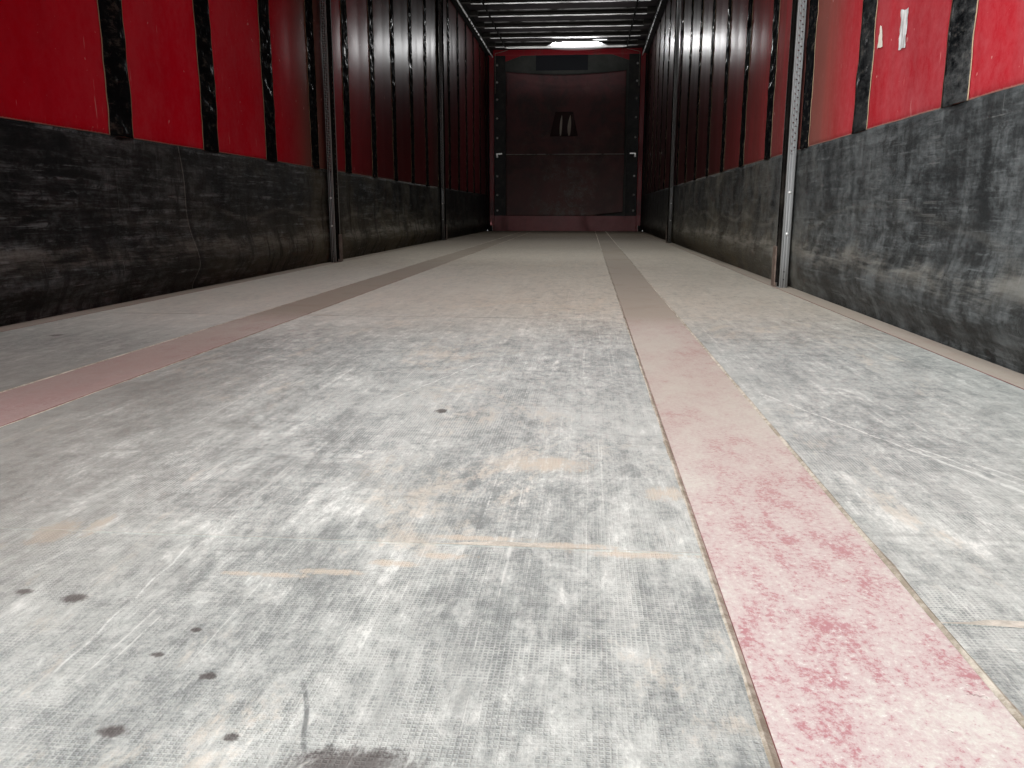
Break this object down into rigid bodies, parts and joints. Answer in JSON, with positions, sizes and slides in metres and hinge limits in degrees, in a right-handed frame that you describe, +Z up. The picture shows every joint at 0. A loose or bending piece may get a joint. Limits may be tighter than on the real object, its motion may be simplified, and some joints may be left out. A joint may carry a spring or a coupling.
{
  "type": "curtain-side semi trailer load body",
  "caption": "Curtain-sided load body of a semi trailer: floor frame with boards, headboard, sliding posts, side curtains on rails, sliding bow roof and rear doors folded back.",
  "frame": {"origin": "on the ground under the middle of the body, at the underside of the main beams", "axes": "+Y forward to the headboard, +X to the right-hand side, +Z up"},
  "size_m": [2.844, 13.754, 3.026],
  "materials": {
    "frame_paint": "gloss, worn",
    "black_paint": "satin",
    "wall_paint": "gloss",
    "floor_wood": "coated, dusty",
    "lining_wood": "matt",
    "vent_paint": "satin",
    "zinc": "galvanised",
    "rail_metal": "mill finish",
    "red_cloth": "coated cloth, gloss",
    "black_cloth": "coated cloth, gloss",
    "roof_cloth": "coated cloth",
    "dark_red_cloth": "coated cloth",
    "door_board": "plastic-faced board",
    "bumper_rubber": "matt"
  },
  "bodies": {
    "load_body": {"main_beam_left": "frame_paint", "main_beam_right": "frame_paint", "side_rave_left": "frame_paint", "side_rave_right": "frame_paint", "rear_sill": "frame_paint", "front_sill": "frame_paint", "headboard_post_left": "frame_paint", "headboard_post_right": "frame_paint", "headboard_top_beam": "frame_paint", "headboard_kick_plate": "frame_paint", "rear_post_left": "frame_paint", "rear_post_right": "frame_paint", "rear_header": "frame_paint", "headboard_gussets": "frame_paint", "crossmembers": "black_paint", "headboard_bolt_strip_left": "black_paint", "headboard_bolt_strip_right": "black_paint", "headboard_outer_wall": "wall_paint", "floor_boards_centre": "floor_wood", "floor_boards_left": "floor_wood", "floor_boards_right": "floor_wood", "headboard_lining": "lining_wood", "headboard_vent_plate": "vent_paint", "sliding_post_left_front": "zinc", "sliding_post_left_rear": "zinc", "sliding_post_right_front": "zinc", "sliding_post_right_rear": "zinc", "curtain_poles_left": "zinc", "curtain_poles_right": "zinc", "curtain_buckles_left": "zinc", "curtain_buckles_right": "zinc", "cant_rail_left": "rail_metal", "cant_rail_right": "rail_metal", "roof_bows": "rail_metal", "roof_bar": "rail_metal", "headboard_mid_rail": "rail_metal", "curtain_left": "red_cloth", "curtain_right": "red_cloth", "curtain_skirt_left": "black_cloth", "curtain_skirt_right": "black_cloth", "curtain_bands_left": "black_cloth", "curtain_bands_right": "black_cloth", "curtain_straps_left": "black_cloth", "curtain_straps_right": "black_cloth", "roof_sheet": "roof_cloth", "headboard_hung_sheet": "dark_red_cloth", "sill_bumpers": "bumper_rubber"},
    "door_left": {"door_panel_left": "door_board", "door_hinges_left": "zinc", "door_lock_bars_left": "zinc"},
    "door_right": {"door_panel_right": "door_board", "door_hinges_right": "zinc", "door_lock_bars_right": "zinc"}
  },
  "joints": [
    {"name": "door_right_hinge", "type": "hinge", "parent": "load_body", "child": "door_right", "pos_m": [1.27, -6.86, 1.5], "axis": [0, 0, 1], "range_deg": [-265, 0]},
    {"name": "door_left_hinge", "type": "hinge", "parent": "load_body", "child": "door_left", "pos_m": [-1.27, -6.86, 1.5], "axis": [0, 0, 1], "range_deg": [0, 265]}
  ]
}
